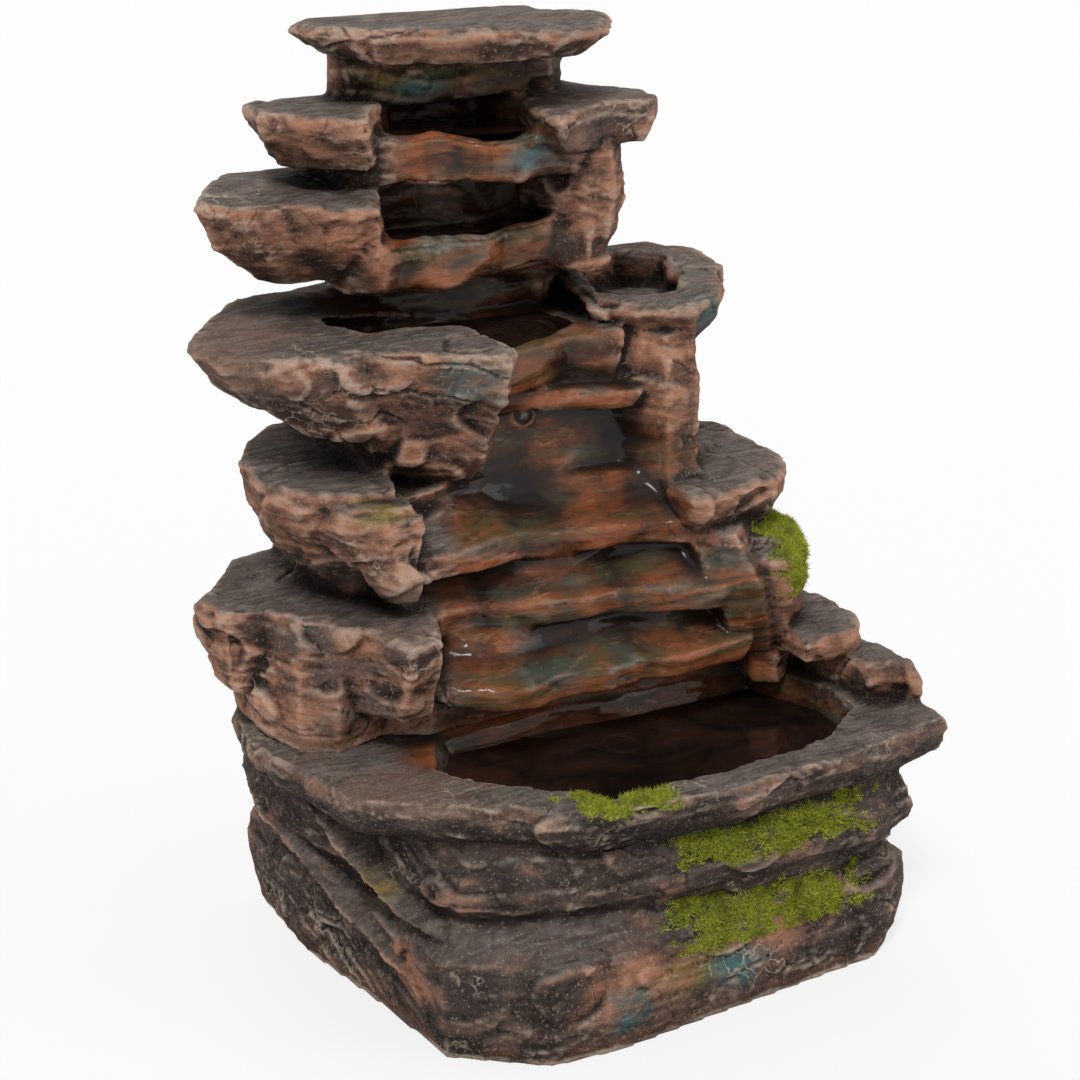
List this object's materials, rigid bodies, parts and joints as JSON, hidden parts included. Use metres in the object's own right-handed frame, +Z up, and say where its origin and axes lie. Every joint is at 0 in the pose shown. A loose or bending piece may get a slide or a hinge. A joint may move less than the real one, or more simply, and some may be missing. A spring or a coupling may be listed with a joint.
{
  "type": "tabletop water fountain",
  "caption": "Tabletop water fountain: a stepped rock cascade with overhanging shelves and small pools over a front basin, moss patches, and a pump behind a rear cover.",
  "frame": {"origin": "on the table, under the middle of the basin's foot", "axes": "+Z up, -Y is the front with the pool, +X is right as seen from the front"},
  "size_m": [0.3339, 0.2492, 0.45],
  "materials": {
    "rock_resin": "cast resin painted as wet layered rock, matt with dry-brushed edges",
    "cover_plastic": "dark brown moulded plastic, fine texture",
    "screw_steel": "stainless screws",
    "insert_brass": "turned brass",
    "black_rubber": "soft black rubber",
    "grille_plastic": "dark moulded plastic",
    "pump_plastic": "black moulded plastic",
    "shaft_ceramic": "ground ceramic",
    "impeller_plastic": "white moulded plastic",
    "magnet_ferrite": "sintered ferrite",
    "slider_plastic": "blue moulded plastic",
    "clear_hose": "soft translucent hose",
    "clamp_steel": "spring steel",
    "outlet_plastic": "dark moulded plastic",
    "lamp_glass": "clear epoxy lens",
    "moss_flock": "glued yellow-green flock fibre"
  },
  "bodies": {
    "fountain": {"basin_casting": "rock_resin", "cascade_casting": "rock_resin", "cover_inserts": "insert_brass", "cable_grommet": "black_rubber", "sump_grille": "grille_plastic", "pump_housing": "pump_plastic", "pump_cable_gland": "black_rubber", "volute_seal": "black_rubber", "pump_volute": "pump_plastic", "shaft_bushes": "black_rubber", "rotor_shaft": "shaft_ceramic", "suction_cups": "black_rubber", "riser_hose": "clear_hose", "hose_clamps": "clamp_steel", "spring_outlet": "outlet_plastic", "outlet_seal": "black_rubber", "outlet_nut": "outlet_plastic", "lamp_sleeve": "black_rubber", "lamp_lens": "lamp_glass", "moss_rim": "moss_flock", "moss_ledge_upper": "moss_flock", "moss_ledge_lower": "moss_flock", "moss_shoulder": "moss_flock"},
    "rotor": {"impeller": "impeller_plastic", "rotor_magnet": "magnet_ferrite"},
    "strainer": {"pump_strainer": "pump_plastic"},
    "flow_shutter": {"flow_slider": "slider_plastic"},
    "cover": {"rear_cover": "cover_plastic", "cover_screws": "screw_steel"}
  },
  "joints": [
    {"name": "rotor_spin", "type": "hinge", "parent": "fountain", "child": "rotor", "pos_m": [0.035, 0.062, 0.036], "axis": [1, 0, 0], "continuous": true},
    {"name": "strainer_pull", "type": "slide", "parent": "fountain", "child": "strainer", "axis": [1, 0, 0], "range_m": [0, 0.022]},
    {"name": "flow_shutter_slide", "type": "slide", "parent": "strainer", "child": "flow_shutter", "axis": [0, 0, 1], "range_m": [0, 0.008]},
    {"name": "cover_pull", "type": "slide", "parent": "fountain", "child": "cover", "axis": [0, 1, 0], "range_m": [0, 0.12]}
  ]
}
